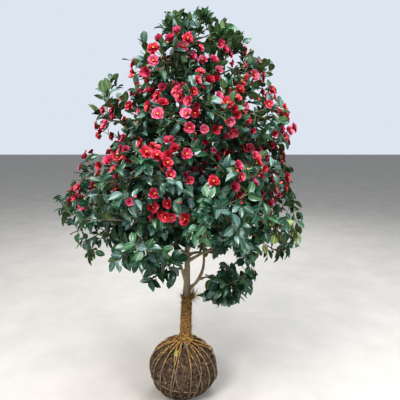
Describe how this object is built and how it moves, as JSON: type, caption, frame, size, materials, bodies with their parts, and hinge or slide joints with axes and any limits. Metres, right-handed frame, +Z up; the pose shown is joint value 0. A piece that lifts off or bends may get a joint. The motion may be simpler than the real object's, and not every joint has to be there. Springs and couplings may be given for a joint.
{
  "type": "camellia tree on a root ball",
  "caption": "Red-flowered camellia grown as a small tree: rope-bound root ball, rope-wrapped trunk, boughs and a dense egg-shaped crown of leaves and blooms.",
  "frame": {"origin": "middle of the root ball's flat underside", "axes": "+Z up along the trunk, -Y the side that faces the viewer, +X to the viewer's right"},
  "size_m": [1.2697, 1.2733, 2.0856],
  "materials": {
    "soil": "matte",
    "straw": "matte",
    "bark": "matte",
    "foliage": "satin",
    "blossom": "satin",
    "stamens": "matte"
  },
  "bodies": {
    "root": {"root_ball": "soil", "ball_ropes": "straw", "trunk_wrap": "straw", "trunk": "bark", "bough_low_left": "bark", "bough_low_right": "bark", "bough_neck_1": "bark", "bough_neck_2": "bark", "bough_neck_3": "bark", "bough_shoulder_1": "bark", "bough_shoulder_2": "bark", "bough_shoulder_3": "bark", "bough_shoulder_4": "bark", "bough_shoulder_5": "bark", "bough_skirt_1": "bark", "bough_skirt_2": "bark", "bough_skirt_3": "bark", "bough_skirt_4": "bark", "bough_skirt_5": "bark", "bough_skirt_6": "bark", "bough_skirt_7": "bark", "bough_waist_1": "bark", "bough_waist_2": "bark", "bough_waist_3": "bark", "bough_waist_4": "bark", "bough_waist_5": "bark", "bough_waist_6": "bark", "foliage_crest": "foliage", "foliage_low_left": "foliage", "foliage_low_right": "foliage", "foliage_neck_1": "foliage", "foliage_neck_2": "foliage", "foliage_neck_3": "foliage", "foliage_shoulder_1": "foliage", "foliage_shoulder_2": "foliage", "foliage_shoulder_3": "foliage", "foliage_shoulder_4": "foliage", "foliage_shoulder_5": "foliage", "foliage_skirt_1": "foliage", "foliage_skirt_2": "foliage", "foliage_skirt_3": "foliage", "foliage_skirt_4": "foliage", "foliage_skirt_5": "foliage", "foliage_skirt_6": "foliage", "foliage_skirt_7": "foliage", "foliage_waist_1": "foliage", "foliage_waist_2": "foliage", "foliage_waist_3": "foliage", "foliage_waist_4": "foliage", "foliage_waist_5": "foliage", "foliage_waist_6": "foliage"}
  },
  "joints": []
}
